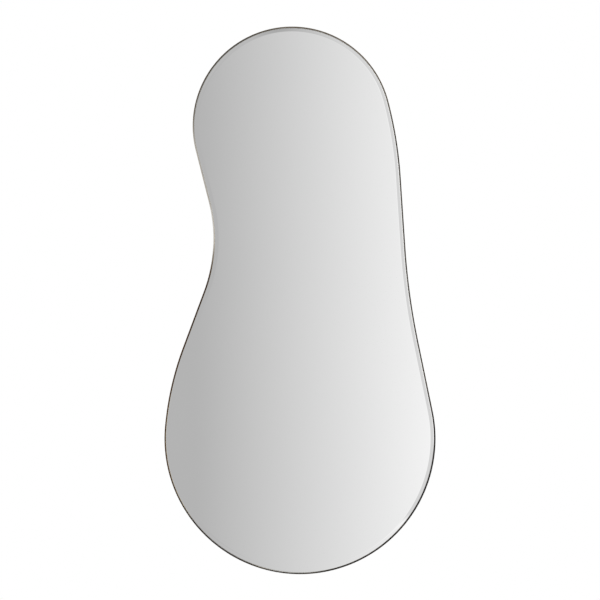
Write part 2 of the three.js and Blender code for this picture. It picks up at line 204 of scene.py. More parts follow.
def begin(add, scale=(1, 1, 1), **how):
    """Adds a primitive with nothing else selected, and opens it with its place in its mesh."""
    bpy.ops.object.select_all(action="DESELECT")
    add(**how)
    bpy.context.object.scale = scale
    bpy.ops.object.transform_apply(location=True, rotation=True, scale=True)
    bpy.ops.object.mode_set(mode="EDIT")
    bpy.ops.mesh.select_mode(type="VERT")
    bpy.ops.mesh.select_all(action="SELECT")
    return bpy.context.object


def add_node(tree, kind, inputs=None, **settings):
    """Adds a node. An input is a plain value, or the socket that feeds it."""
    made = tree.nodes.new(kind)
    for name, value in settings.items():
        setattr(made, name, value)
    for name, value in (inputs or {}).items():
        if isinstance(value, bpy.types.NodeSocket):
            tree.links.new(value, made.inputs[name])
        else:
            made.inputs[name].default_value = value
    return made


def ease(tree, value, start, end, from_value=0.0, to_value=1.0):
    """Runs softly from one value to another as the input goes from start to end."""
    return add_node(
        tree, "ShaderNodeMapRange", {
            "Value": value, "From Min": start, "From Max": end,
            "To Min": from_value, "To Max": to_value,
        },
        interpolation_type="SMOOTHSTEP",
    ).outputs["Result"]


def spread(tree, value, low, high, from_value=0.0, to_value=1.0):
    """Stretches the part of a pattern between low and high over two values."""
    return add_node(
        tree, "ShaderNodeMapRange", {
            "Value": value, "From Min": low, "From Max": high,
            "To Min": from_value, "To Max": to_value,
        },
    ).outputs["Result"]


def math_node(tree, operation, *values):
    inputs = dict(enumerate(values))
    return add_node(tree, "ShaderNodeMath", inputs, operation=operation).outputs[0]


def vector_node(tree, operation, inputs, output="Vector"):
    return add_node(tree, "ShaderNodeVectorMath", inputs, operation=operation).outputs[output]


# ---- Camera and stage ----


def set_camera():
    """The photograph's square frame, straight from the front."""
    data = bpy.data.cameras.new("camera")
    data.sensor_width = SENSOR * 1000
    photo_side = HEIGHT * PHOTO_SIDE_PX / PHOTO_HEIGHT_PX
    data.lens = data.sensor_width * (CAMERA_DISTANCE + BAND_FRONT) / photo_side
    camera = bpy.data.objects.new("camera", data)
    bpy.context.scene.collection.objects.link(camera)
    camera.location = (0, -CAMERA_DISTANCE, CAMERA_RISE)
    camera.rotation_euler = (math.pi / 2, 0, 0)
    bpy.context.scene.camera = camera


def white_surroundings():
    """White behind the mirror, greyer low down in reflections, and soft light on all sides."""
    world = bpy.data.worlds.new("studio")
    world.use_nodes = True
    bpy.context.scene.world = world
    tree = world.node_tree
    tree.nodes.clear()
    rays = add_node(tree, "ShaderNodeLightPath").outputs
    where = add_node(tree, "ShaderNodeTexCoord").outputs["Generated"]
    height = add_node(tree, "ShaderNodeSeparateXYZ", {0: where}).outputs["Z"]
    seen = math_node(tree, "MAXIMUM", rays["Is Camera Ray"], rays["Is Transmission Ray"])
    grey = ease(tree, height, *HORIZON, HORIZON_GREY, 1)
    reflected = math_node(tree, "MULTIPLY", rays["Is Glossy Ray"], grey)
    strength = math_node(tree, "MAXIMUM", math_node(tree, "MAXIMUM", seen, reflected), AMBIENT)
    light = add_node(tree, "ShaderNodeBackground", {"Color": WHITE, "Strength": strength})
    shown = add_node(tree, "ShaderNodeOutputWorld")
    tree.links.new(light.outputs[0], shown.inputs["Surface"])


def soft_lamp(name, place, size, power):
    """A round lamp that faces the mirror and isn't seen or reflected."""
    data = bpy.data.lights.new(name, "AREA")
    data.shape = "DISK"
    data.size = size
    data.energy = power
    lamp = bpy.data.objects.new(name, data)
    bpy.context.scene.collection.objects.link(lamp)
    lamp.location = place
    lamp.rotation_euler = (-Vector(place)).to_track_quat("-Z", "Y").to_euler()
    lamp.visible_camera = False
    lamp.visible_glossy = False


def stage_sheet(name, finish_name, **how):
    """A flat sheet for the stage, with an empty finish."""
    piece = begin(bpy.ops.mesh.primitive_plane_add, **how)
    bpy.ops.object.mode_set(mode="OBJECT")
    piece.name = name
    finish = bpy.data.materials.new(finish_name)
    finish.use_nodes = True
    finish.node_tree.nodes.clear()
    piece.data.materials.append(finish)
    return piece, finish.node_tree


def floor():
    """A pale floor below the mirror. It fades to the white of the surroundings at its edge."""
    piece, tree = stage_sheet(
        "floor", "pale_floor", size=FLOOR_SIZE, location=(0, 0, FLOOR_HEIGHT),
    )
    piece.visible_glossy = False
    where = add_node(tree, "ShaderNodeTexCoord").outputs["Object"]
    flat = vector_node(tree, "MULTIPLY", {0: where, 1: (1, 1, 0)})
    away = vector_node(tree, "LENGTH", {0: flat}, "Value")
    start, end = FLOOR_FADE
    fade = ease(tree, away, FLOOR_SIZE * start, FLOOR_SIZE * end)
    rays = add_node(tree, "ShaderNodeLightPath").outputs
    share = math_node(tree, "MULTIPLY", fade, rays["Is Camera Ray"])
    pale = add_node(tree, "ShaderNodeBsdfDiffuse", {"Color": FLOOR_PAINT})
    white = add_node(tree, "ShaderNodeEmission", {"Color": WHITE, "Strength": 1.0})
    mix = add_node(
        tree, "ShaderNodeMixShader", {0: share, 1: pale.outputs[0], 2: white.outputs[0]},
    )
    shown = add_node(tree, "ShaderNodeOutputMaterial")
    tree.links.new(mix.outputs[0], shown.inputs["Surface"])


def reflector():
    """A graded card that gives the glass something to mirror."""
    piece, tree = stage_sheet(
        "reflector", "graded_card", size=1,
        location=(0, -CARD_DISTANCE, (CARD_LOW + CARD_TOP) / 2),
        rotation=(math.pi / 2, 0, 0), scale=(2 * CARD_REACH, CARD_TOP - CARD_LOW, 1),
    )
    for kind in ("camera", "diffuse", "transmission", "shadow", "volume_scatter"):
        setattr(piece, f"visible_{kind}", False)
    where = add_node(tree, "ShaderNodeTexCoord").outputs["Object"]
    place = add_node(tree, "ShaderNodeSeparateXYZ", {0: where}).outputs
    up, out = place["Z"], place["X"]
    foot = ease(tree, out, *CARD_FOOT_END, CARD_SPREAD, 1)
    side = math_node(tree, "MULTIPLY", out, ease(tree, up, *CARD_FOOT, foot, 1))
    growth = spread(tree, side, CARD_LEFT, CARD_RIGHT, CARD_DARK, CARD_BRIGHT)
    across = math_node(tree, "SMOOTH_MAX", growth, CARD_DARK, CARD_BLEND)
    right = ease(tree, side, *CARD_SIDE, 1, CARD_FALL)
    slant = math_node(tree, "MULTIPLY_ADD", out, CARD_SLANT, up)
    head = ease(tree, slant, *CARD_HEAD, 1, ease(tree, out, *CARD_CORNER, 1, CARD_FALL))
    corner = ease(tree, out, *CARD_CORNER, CARD_CORNER_LIGHT, 1)
    corner = ease(tree, up, *CARD_CORNER_RISE, 1, corner)
    stripe = ease(tree, up, *CARD_STRIPE_FOOT, CARD_STRIPE_FOOT_LIGHT, CARD_STRIPE_LIGHT)
    stripe = ease(tree, out, *CARD_STRIPE[2:], stripe, 1)
    stripe = ease(tree, out, *CARD_STRIPE[:2], 1, stripe)
    low_step, high_step = CARD_EDGE_STEPS
    low_light, mid_light, high_light = CARD_EDGE_LIGHTS
    edge = ease(tree, up, *low_step, low_light, mid_light)
    edge = ease(tree, up, *high_step, edge, high_light)
    edge = ease(tree, out, *CARD_EDGE, edge, 1)
    light = math_node(tree, "MULTIPLY", across, math_node(tree, "MINIMUM", right, head))
    for share in (stripe, edge, corner):
        light = math_node(tree, "MULTIPLY", light, share)
    glow = add_node(tree, "ShaderNodeEmission", {"Color": WHITE, "Strength": light})
    shown = add_node(tree, "ShaderNodeOutputMaterial")
    tree.links.new(glow.outputs[0], shown.inputs["Surface"])


bpy.context.scene.view_settings.view_transform = "Standard"
set_camera()
white_surroundings()
floor()
reflector()
soft_lamp("key_lamp", place=(-2.0, -3.0, 2.2), size=1.6, power=55)
soft_lamp("back_lamp", place=(1.8, 2.6, 1.8), size=1.4, power=45)

# ---- Finishes ----

# Tones along the front edge of the strip, as painted light and shade: a painted reflection makes
# it paler near the top left, it is browner down the left and darker on the right, and painted
# shade makes it near black at the foot and the lower right. Each has a place, holds within the
# first distance of it and has gone at the second. The later ones lie over the earlier ones.
EDGE_PAINTED_LIGHT = (
    ((-0.14, 0, 0.46), 0.05, 0.14, (0.1, 0.085, 0.064)),
    ((0.2, 0, 0.1), 0.2, 0.32, (0.042, 0.032, 0.019)),
    ((-0.23, 0, -0.18), 0.2, 0.34, (0.065, 0.026, 0.003)),
    ((-0.18, 0, 0), 0.03, 0.1, (0.04, 0.018, 0.004)),
    ((-0.16, 0, -0.43), 0.08, 0.14, (0.012, 0.01, 0.008)),
    ((-0.02, 0, -0.5), 0.03, 0.09, (0.02, 0.015, 0.009)),
    ((0.11, 0, -0.47), 0.07, 0.11, (0.016, 0.012, 0.008)),
    ((0.24, 0, -0.31), 0.08, 0.19, (0.008, 0.007, 0.006)),
)

# A painted highlight at the neck, as pale as bare steel: where it spreads, and where it shines
# most.
NECK_HIGHLIGHT = ((-0.17, 0, 0.2), 0.085, 0.155)
NECK_HIGHLIGHT_CORE = ((-0.16, 0, 0.135), 0.03, 0.06)

# The front edge of the strip, from where its own tones hold to where they have faded.
EDGE_DEPTH = (BAND_FRONT + 0.0006, BAND_FRONT + 0.003)
EDGE_TRACE = 0.12  # what stays of them on the side

# Tones of the silicone, read as the strip's tones are: a painted cream highlight down the lower
# left, brown near the waist, darker at the foot and darkest at the lower right, and greyer near
# the top.
SEALANT_TONES_AND_HIGHLIGHT = (
    ((-0.23, 0, -0.18), 0.25, 0.4, (0.84, 0.72, 0.5)),
    ((-0.2, 0, -0.05), 0.08, 0.18, (0.26, 0.16, 0.07)),
    ((-0.15, 0, -0.45), 0.06, 0.1, (0.38, 0.35, 0.31)),
    ((0.11, 0, -0.47), 0.07, 0.11, (0.26, 0.24, 0.21)),
    ((0.24, 0, -0.31), 0.08, 0.19, (0.1, 0.088, 0.075)),
    ((-0.12, 0, 0.44), 0.06, 0.11, (0.55, 0.53, 0.47)),
)


def new_finish(name, **fixed):
    """A material with its Principled shader and the object coordinates its patterns read."""
    finish = bpy.data.materials.new(name)
    finish.use_nodes = True
    tree = finish.node_tree
    shader = tree.nodes["Principled BSDF"]
    for socket, value in fixed.items():
        shader.inputs[socket.replace("_", " ")].default_value = value
    where = add_node(tree, "ShaderNodeTexCoord").outputs["Object"]
    return finish, tree, shader, where


def grain(tree, where, size, stretch=(1, 1, 1), turn=0.0, detail=3.0, rough=0.5):
    """Noise with cells of about the given size. A stretch under 1 draws them out that way."""
    placed = add_node(
        tree, "ShaderNodeMapping",
        {"Vector": where, "Rotation": (0, turn, 0), "Scale": [share / size for share in stretch]},
    )
    return add_node(
        tree, "ShaderNodeTexNoise",
        {"Vector": placed.outputs[0], "Scale": 1.0, "Detail": detail, "Roughness": rough},
    ).outputs["Fac"]


def tint(tree, share, one, other):
    """Mixes two colours, each an (r, g, b) or a socket."""
    mix = add_node(tree, "ShaderNodeMix", data_type="RGBA")
    for socket, value in (("A", one), ("B", other)):
        slot = next(i for i in mix.inputs if i.name == socket and i.type == "RGBA")
        if isinstance(value, bpy.types.NodeSocket):
            tree.links.new(value, slot)
        else:
            slot.default_value = (*value, 1)
    tree.links.new(share, mix.inputs["Factor"])
    return next(o for o in mix.outputs if o.type == "RGBA")


def near(tree, where, place, inner, outer):
    """1 within inner of a place, falling to 0 at outer."""
    away = vector_node(tree, "DISTANCE", {0: where, 1: place}, "Value")
    return ease(tree, away, inner, outer, 1, 0)


def spots(tree, where, tone, places):
    """Lays colours over a tone, each near a place of its own."""
    for place, inner, outer, colour in places:
        tone = tint(tree, near(tree, where, place, inner, outer), tone, colour)
    return tone


def paint(tree, shader, colour, rough):
    tree.links.new(colour, shader.inputs["Base Color"])
    tree.links.new(rough, shader.inputs["Roughness"])


def bumps(tree, shader, height, strength, distance):
    bump = add_node(
        tree, "ShaderNodeBump", {"Height": height, "Strength": strength, "Distance": distance},
    )
    tree.links.new(bump.outputs[0], shader.inputs["Normal"])


def aged_bronze():
    """Satin bronze lacquer on steel, mottled, with painted light and shade in other tones along
    its front edge.
    """
    finish, tree, shader, where = new_finish("aged_bronze", Metallic=0.85, Specular_IOR_Level=0.5)
    clouds = grain(tree, where, 0.09, detail=4)
    mottle = grain(tree, where, 0.006, detail=5, rough=0.6)
    mill = grain(tree, where, 0.004, stretch=(0.12, 14, 0.12), detail=2)
    patchy = spread(tree, clouds, 0.35, 0.65)
    plain = tint(tree, patchy, (0.14, 0.112, 0.08), (0.19, 0.155, 0.112))

    # The places of the tones, moved to and fro by up to a few centimetres.
    wander = add_node(tree, "ShaderNodeTexNoise", {"Vector": where, "Scale": 30, "Detail": 4})
    drift = vector_node(tree, "SUBTRACT", {0: wander.outputs["Color"], 1: (0.5, 0.5, 0.5)})
    ragged = vector_node(tree, "MULTIPLY_ADD", {0: drift, 1: (0.1, 0.1, 0.1), 2: where})
    depth = add_node(tree, "ShaderNodeSeparateXYZ", {0: where}).outputs["Y"]
    front = ease(tree, depth, *EDGE_DEPTH, 1, EDGE_TRACE)
    # The front edge takes the painted reflection and shade, which fade on the side.
    tone = tint(tree, front, plain, spots(tree, ragged, plain, EDGE_PAINTED_LIGHT))
    stained = tint(tree, spread(tree, mottle, 0.35, 0.7, 0, 0.4), tone, (0.04, 0.03, 0.02))

    # A painted highlight at the neck, as pale as bare steel.
    patches = spread(tree, mottle, 0.3, 0.7, 1, 0.85)
    neck_sheen = math_node(tree, "MULTIPLY", near(tree, where, *NECK_HIGHLIGHT), patches)
    bright = near(tree, where, *NECK_HIGHLIGHT_CORE)
    highlighted = tint(tree, math_node(tree, "MULTIPLY", neck_sheen, front), stained, (0.61, 0.57, 0.51))
    highlighted = tint(tree, math_node(tree, "MULTIPLY", bright, front), highlighted, (0.78, 0.75, 0.7))

    # Corners, whose normals look half forwards, are polished by handling.
    normal = add_node(tree, "ShaderNodeTexCoord").outputs["Normal"]
    across = add_node(tree, "ShaderNodeSeparateXYZ", {0: normal}).outputs["Y"]
    oblique = math_node(tree, "ABSOLUTE", across)
    leaning = ease(tree, oblique, 0.2, 0.5)
    corner = math_node(tree, "MULTIPLY", leaning, ease(tree, oblique, 0.97, 0.8))
    handled = math_node(tree, "MULTIPLY", corner, spread(tree, mottle, 0.4, 0.7, 0, 0.35))
    polished = vector_node(tree, "SCALE", {0: highlighted, "Scale": 1.8})
    satin = spread(tree, mottle, 0.3, 0.7, 0.32, 0.5)
    rough = math_node(tree, "ADD", satin, spread(tree, mill, 0.3, 0.7, -0.05, 0.05))
    paint(tree, shader, tint(tree, handled, highlighted, polished), rough)
    relief = math_node(tree, "ADD", mill, math_node(tree, "MULTIPLY", mottle, 0.6))
    bumps(tree, shader, relief, 0.25, 0.0001)
    return finish


def silvered_face():
    """Silvered float glass, very slightly wavy, with a trace of wiping marks."""
    finish, tree, shader, where = new_finish("silvered_glass", Metallic=1.0)
    wipes = grain(tree, where, 0.05, stretch=(0.25, 1, 1), turn=0.6, detail=4)
    clouds = spread(tree, grain(tree, where, 0.3, detail=1), 0.3, 0.7)
    colour = tint(tree, clouds, (0.927, 0.928, 0.928), (0.937, 0.937, 0.936))
    paint(tree, shader, colour, spread(tree, wipes, 0.35, 0.75, 0.012, 0.03))
    bumps(tree, shader, grain(tree, where, 0.12, detail=0), 0.02, 0.0005)
    return finish


def glass_rim():
    """The ground edge of the glass, green with depth."""
    finish, tree, shader, where = new_finish(
        "ground_glass_rim", Specular_IOR_Level=0.5, IOR=1.52,
    )
    frost = grain(tree, where, 0.0012, detail=3)
    colour = tint(tree, frost, (0.2, 0.34, 0.29), (0.42, 0.56, 0.5))
    paint(tree, shader, colour, spread(tree, frost, 0.3, 0.7, 0.2, 0.4))
    bumps(tree, shader, frost, 0.2, 0.00005)
    return finish


def mirror_paint():
    """The grey brown protective paint on the back of the glass."""
    finish, tree, shader, where = new_finish("mirror_back_paint")
    peel = grain(tree, where, 0.002, detail=2)
    clouds = grain(tree, where, 0.08, detail=3)
    colour = tint(tree, clouds, (0.2, 0.185, 0.17), (0.26, 0.24, 0.22))
    paint(tree, shader, colour, spread(tree, peel, 0.3, 0.7, 0.4, 0.55))
    bumps(tree, shader, peel, 0.3, 0.00005)
    return finish


def fibreboard():
    """Raw MDF: fine pressed fibres, soft mottling and the marks of the sanding belt."""
    finish, tree, shader, where = new_finish("fibreboard", Specular_IOR_Level=0.3)
    clouds = spread(tree, grain(tree, where, 0.05, detail=5, rough=0.6), 0.3, 0.7)
    colour = tint(tree, clouds, (0.44, 0.315, 0.195), (0.51, 0.375, 0.24))
    lying = grain(tree, where, 0.00028, stretch=(0.3, 1, 1), turn=0.5, detail=2)
    standing = grain(tree, where, 0.00028, stretch=(1, 1, 0.3), turn=0.35, detail=2)
    for start, end, strength, fleck in (
        (0.62, 0.72, 0.55, (0.24, 0.15, 0.08)),
        (0.38, 0.28, 0.45, (0.68, 0.54, 0.37)),
    ):
        flecks = [ease(tree, fibres, start, end) for fibres in (lying, standing)]
        share = math_node(tree, "MULTIPLY", math_node(tree, "MAXIMUM", *flecks), strength)
        colour = tint(tree, share, colour, fleck)
    belt = grain(tree, where, 0.0012, stretch=(1, 1, 0.01), detail=1)
    sanded = tint(tree, spread(tree, belt, 0.45, 0.75, 0, 0.12), colour, (0.66, 0.52, 0.37))
    fuzz = grain(tree, where, 0.0007, detail=3, rough=0.7)
    paint(tree, shader, sanded, spread(tree, fuzz, 0.3, 0.7, 0.75, 0.95))
    bumps(tree, shader, fuzz, 0.35, 0.0001)
    return finish


def white_foam():
    """Closed cell foam tape."""
    finish, tree, shader, where = new_finish("white_foam", Specular_IOR_Level=0.3)
    cells = add_node(tree, "ShaderNodeTexVoronoi", {"Vector": where, "Scale": 3000})
    cells = cells.outputs["Distance"]
    colour = tint(tree, cells, (0.86, 0.86, 0.83), (0.74, 0.74, 0.7))
    paint(tree, shader, colour, spread(tree, cells, 0, 0.6, 0.95, 0.8))
    bumps(tree, shader, cells, 0.5, 0.0001)
    return finish


def zinc_steel():
    """Bright zinc plate with a faint cloudy bloom and handling scratches."""
    finish, tree, shader, where = new_finish("zinc_steel", Metallic=1.0)
    bloom = grain(tree, where, 0.004, detail=4, rough=0.6)
    scratch = grain(tree, where, 0.0006, stretch=(1, 1, 0.06), turn=0.2, detail=2)
    cloudy = spread(tree, bloom, 0.3, 0.7)
    colour = tint(tree, cloudy, (0.56, 0.575, 0.59), (0.7, 0.7, 0.68))
    dull = spread(tree, bloom, 0.3, 0.7, 0.22, 0.36)
    rough = math_node(tree, "ADD", dull, spread(tree, scratch, 0.5, 0.8, 0, 0.12))
    paint(tree, shader, colour, rough)
    bumps(tree, shader, math_node(tree, "ADD", scratch, bloom), 0.12, 0.00005)
    return finish


def black_rubber():
    """Moulded rubber with a fine matt skin and a little dust."""
    finish, tree, shader, where = new_finish("black_rubber", Specular_IOR_Level=0.4)
    skin = grain(tree, where, 0.0005, detail=3, rough=0.6)
    dust = grain(tree, where, 0.005, detail=5, rough=0.7)
    dusty = spread(tree, dust, 0.5, 0.8, 0, 0.5)
    colour = tint(tree, dusty, (0.022, 0.022, 0.024), (0.075, 0.072, 0.068))
    paint(tree, shader, colour, spread(tree, dust, 0.3, 0.7, 0.55, 0.8))
    bumps(tree, shader, skin, 0.3, 0.00006)
    return finish


def silicone():
    """Pale silicone, with a painted cream highlight down the left side, brown near the waist and
    darker at the foot and the lower right.
    """
    finish, tree, shader, where = new_finish("silicone", Specular_IOR_Level=0.4)
    haze = grain(tree, where, 0.01, detail=3)
    clean = tint(tree, spread(tree, haze, 0.3, 0.7), (0.76, 0.75, 0.71), (0.86, 0.85, 0.81))
    # Lays on the painted cream highlight and the darker tones.
    colour = spots(tree, where, clean, SEALANT_TONES_AND_HIGHLIGHT)
    paint(tree, shader, colour, spread(tree, haze, 0.3, 0.7, 0.25, 0.4))
    return finish


def clear_adhesive():
    """The pale acrylic pad under a bumper."""
    finish, tree, shader, where = new_finish("adhesive_pad", Specular_IOR_Level=0.5)
    haze = grain(tree, where, 0.0015, detail=3)
    colour = tint(tree, haze, (0.55, 0.5, 0.42), (0.72, 0.68, 0.6))
    paint(tree, shader, colour, spread(tree, haze, 0.3, 0.7, 0.3, 0.5))
    return finish


BRONZE, SILVER, RIM = aged_bronze(), silvered_face(), glass_rim()
PAINT, MDF, FOAM = mirror_paint(), fibreboard(), white_foam()
ZINC, RUBBER, ADHESIVE = zinc_steel(), black_rubber(), clear_adhesive()
SILICONE = silicone()

# ---- Modelling moves ----


def middle(node):
    low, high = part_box(node)
    return (low + high) / 2


def level(edge, axis):
    """Whether an edge keeps one place along an axis."""
    one, other = edge.verts
    return abs(one.co[axis] - other.co[axis]) < SAME


def pick(kind, test):
    """Selects the open piece's edges or faces that pass a test, and nothing else."""
    bpy.ops.mesh.select_mode(type=kind)
    bpy.ops.mesh.select_all(action="DESELECT")
    mesh = bmesh.from_edit_mesh(bpy.context.object.data)
    for part in {"EDGE": mesh.edges, "FACE": mesh.faces}[kind]:
        if test(part):
            part.select_set(True)
    mesh.select_flush_mode()
    bmesh.update_edit_mesh(bpy.context.object.data)


def draw(points):
    """Opens a wire that runs through the points, drawn by extruding one vertex on and on."""
    piece = begin(bpy.ops.mesh.primitive_plane_add, size=STRIP_THICKNESS, location=points[0])
    bpy.ops.mesh.merge(type="CENTER")
    for here, there in zip(points, points[1:]):
        push(there - here)
    bpy.ops.mesh.select_all(action="SELECT")
    return piece


def push(way):
    bpy.ops.mesh.extrude_region_move(TRANSFORM_OT_translate={"value": way})


def turn(centre, axis, angle, steps):
    """Spins what is selected. Seen along the axis, a positive angle turns it anticlockwise."""
    bpy.ops.mesh.spin(steps=steps, angle=angle, center=centre, axis=axis)


def merge_all():
    bpy.ops.mesh.select_all(action="SELECT")
    bpy.ops.mesh.remove_doubles(threshold=MERGE)


def shade(degrees):
    """Shades the active piece smooth, but for the edges that are sharper than this."""
    bpy.ops.object.shade_smooth_by_angle(angle=math.radians(degrees))


def close(piece, name, smooth=30):
    """Merges doubles, turns the faces outwards and leaves the edit."""
    merge_all()
    bpy.ops.mesh.normals_make_consistent(inside=False)
    bpy.ops.object.mode_set(mode="OBJECT")
    piece.name = piece.data.name = name
    shade(smooth)
    return piece


def shape_with(piece, kind, **settings):
    """Applies one modifier."""
    bpy.ops.object.select_all(action="DESELECT")
    piece.select_set(True)
    bpy.context.view_layer.objects.active = piece
    bpy.ops.object.modifier_add(type=kind)
    modifier = piece.modifiers[-1]
    for name, value in settings.items():
        setattr(modifier, name, value)
    bpy.ops.object.modifier_apply(modifier=modifier.name)


def cut(piece, tool):
    """Takes a tool's shape out of a piece, and the tool away."""
    shape_with(piece, "BOOLEAN", object=tool, operation="DIFFERENCE", solver="EXACT")
    bpy.data.objects.remove(tool, do_unlink=True)


def soften(piece, width):
    """Rounds every crisp edge a little."""
    shape_with(
        piece, "BEVEL", width=width, segments=2, limit_method="ANGLE",
        angle_limit=math.radians(50), harden_normals=False,
    )
    shade(30)


def peg(x, z, front, back, radius, sides=32):
    """A cylinder along Y, to cut a hole with."""
    piece = begin(
        bpy.ops.mesh.primitive_cylinder_add, vertices=sides, radius=radius, depth=back - front,
        location=(x, (front + back) / 2, z), rotation=(math.pi / 2, 0, 0),
    )
    return close(piece, "peg")


def drill(piece, x, z, thickness):
    """A screw hole through a plate that lies on the back of the board."""
    front, back = BOARD_BACK - HOLE_OVERRUN, BOARD_BACK + thickness + HOLE_OVERRUN
    cut(piece, peg(x, z, front, back, HOLE_RADIUS))


def copy_to(piece, name, matrix):
    """A copy with a mesh of its own, moved there in its mesh."""
    twin = piece.copy()
    twin.data = piece.data.copy()
    twin.data.transform(matrix)
    twin.name = twin.data.name = name
    bpy.context.scene.collection.objects.link(twin)
    return twin


def fit(piece, body, slot, *finishes, nodes=()):
    """Gives a piece its finishes and its body, and lets it stand for nodes of the frame."""
    if finishes:
        piece.data.materials.clear()
        for finish in finishes:
            piece.data.materials.append(finish)
    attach(piece, body)
    if nodes:
        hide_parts(*nodes)
    return piece


# ---- Outline ----


def polar(centre, radius, angle):
    return centre + radius * Vector((math.cos(angle), math.sin(angle)))


def bearing(start, end):
    return math.atan2(end.y - start.y, end.x - start.x)


def meet(a, from_a, b, from_b):
    """The point at two distances from two centres, on the left of the way from a to b."""
    span = (b - a).length
    along = (from_a**2 - from_b**2 + span**2) / (2 * span)
    aside = math.sqrt(from_a**2 - along**2)
    way = bearing(a, b)
    return polar(polar(a, along, way), aside, way + math.pi / 2)


def outline_arcs():
    """The arcs of the outline as (centre, radius, start, sweep), from the foot anticlockwise.

    A centre is an (x, z) pair. Seen from the front, a hollow arc turns clockwise, so its sweep
    is negative.
    """
    crown = Vector((CROWN_SHIFT, HEIGHT / 2 - CROWN_RADIUS))
    bowl = Vector((0, FOOT + BOWL_RADIUS))
    hip = polar(bowl, BOWL_RADIUS - HIP_RADIUS, HIP_ANGLE)
    shoulder = polar(crown, CROWN_RADIUS - SHOULDER_RADIUS, SHOULDER_ANGLE)
    neck_radii, hip_radii = CROWN_RADIUS + WAIST_RADIUS, HIP_RADIUS + WAIST_RADIUS
    bowl_radii, shoulder_radii = BOWL_RADIUS + FLANK_RADIUS, SHOULDER_RADIUS + FLANK_RADIUS
    waist = meet(
        hip, math.hypot(hip_radii, HIP_STRAIGHT),
        crown, math.hypot(neck_radii, NECK_STRAIGHT),
    )
    flank = meet(
        shoulder, math.hypot(shoulder_radii, FLANK_STRAIGHT),
        bowl, math.hypot(bowl_radii, FLANK_STRAIGHT),
    )
    neck_normal = bearing(crown, waist) - math.atan2(NECK_STRAIGHT, neck_radii)
    hip_normal = bearing(hip, waist) + math.atan2(HIP_STRAIGHT, hip_radii)
    bowl_normal = bearing(bowl, flank) - math.atan2(FLANK_STRAIGHT, bowl_radii)
    shoulder_normal = bearing(shoulder, flank) + math.atan2(FLANK_STRAIGHT, shoulder_radii)
    ends = [
        (bowl, BOWL_RADIUS, -math.pi / 2, bowl_normal, 1),
        (flank, FLANK_RADIUS, bowl_normal + math.pi, shoulder_normal + math.pi, -1),
        (shoulder, SHOULDER_RADIUS, shoulder_normal, SHOULDER_ANGLE, 1),
        (crown, CROWN_RADIUS, SHOULDER_ANGLE, neck_normal, 1),
        (waist, WAIST_RADIUS, neck_normal + math.pi, hip_normal + math.pi, -1),
        (hip, HIP_RADIUS, hip_normal, HIP_ANGLE, 1),
        (bowl, BOWL_RADIUS, HIP_ANGLE, -math.pi / 2, 1),
    ]
    return [
        (centre, radius, start, sense * ((sense * (end - start)) % math.tau))
        for centre, radius, start, end, sense in ends
    ]


def sweep_outline():
    """Sweeps the selected profile, which stands at the foot, once round the outline."""
    last = None
    for centre, radius, start, sweep in outline_arcs():
        here = polar(centre, radius, start)
        if last is not None and (here - last).length > OUTLINE_PITCH:
            push((here.x - last.x, 0, here.y - last.y))
        steps = math.ceil(radius * abs(sweep) / OUTLINE_PITCH)
        turn((centre.x, 0, centre.y), (0, 1, 0), sweep, steps)
        last = polar(centre, radius, start + sweep)


def at_foot(profile):
    """Points of a profile of (inset, y) pairs, stood at the foot of the outline."""
    return [Vector((0, y, FOOT + inset)) for inset, y in profile]


def rounded(inset, y, radius, start, end, steps):
    """Points of a rounded corner about (inset, y), at angles from the inset's way to y's."""
    angles = [start + (end - start) * i / steps for i in range(steps + 1)]
    return [(inset + radius * math.cos(a), y + radius * math.sin(a)) for a in angles]


def outline_plate(name, profile, smooth=30):
    """A plate with the outline's shape, from the profile of its rim, front to back."""
    piece = draw(at_foot(profile))
    sweep_outline()
    merge_all()
    for inset, y in (profile[0], profile[-1]):
        pick("EDGE", lambda edge: edge.is_boundary and abs(edge.verts[0].co.y - y) < SAME)
        bpy.ops.mesh.edge_face_add()
    return close(piece, name, smooth)


# ---- Strip, glass, board and tape ----


def frame_band():
    """The flat strip on edge, with the corners of rolled steel."""
    piece = begin(
        bpy.ops.mesh.primitive_plane_add, size=1,
        location=(0, (BAND_FRONT + BAND_BACK) / 2, FOOT + STRIP_THICKNESS / 2),
        rotation=(0, math.pi / 2, 0), scale=(STRIP_THICKNESS, BAND_BACK - BAND_FRONT, 1),
    )
    bpy.ops.mesh.bevel(offset=STRIP_ROUND, segments=4, affect="VERTICES")
    bpy.ops.mesh.delete(type="ONLY_FACE")
    bpy.ops.mesh.select_all(action="SELECT")
    sweep_outline()
    piece = close(piece, "bronze_band")
    return fit(piece, "mirror", "aged_bronze", BRONZE, nodes=["frame_band"])


def glass_profile():
    """The front flat, the soft start of the bevel, the bevel, its rolled lip and the edge."""
    slope = math.tan(BEVEL_SLOPE)
    inner = GLASS_EDGE + BEVEL_WIDTH
    points = [(inner + FLAT_RIM, GLASS_FRONT)]
    steps = 6
    for i in range(steps + 1):
        along = BEVEL_EASE * i / steps
        points.append((inner - along, GLASS_FRONT + slope * along**2 / (2 * BEVEL_EASE)))
    straight = BEVEL_WIDTH - BEVEL_EASE - LIP_REACH - FRONT_ARRIS
    inset, y = points[-1]
    inset, y = inset - straight, y + slope * straight
    lip = LIP_REACH / (math.sin(LIP_SLOPE) - math.sin(BEVEL_SLOPE))
    centre = (inset + lip * math.sin(BEVEL_SLOPE), y + lip * math.cos(BEVEL_SLOPE))
    ahead = -math.pi / 2
    points += rounded(*centre, lip, ahead - BEVEL_SLOPE, ahead - LIP_SLOPE, 5)
    points += [
        (GLASS_EDGE, points[-1][1] + FRONT_ARRIS),
        (GLASS_EDGE, GLASS_BACK - BACK_ARRIS),
        (GLASS_EDGE + BACK_ARRIS, GLASS_BACK),
        (GLASS_EDGE + BACK_ARRIS + FLAT_RIM, GLASS_BACK),
    ]
    return points


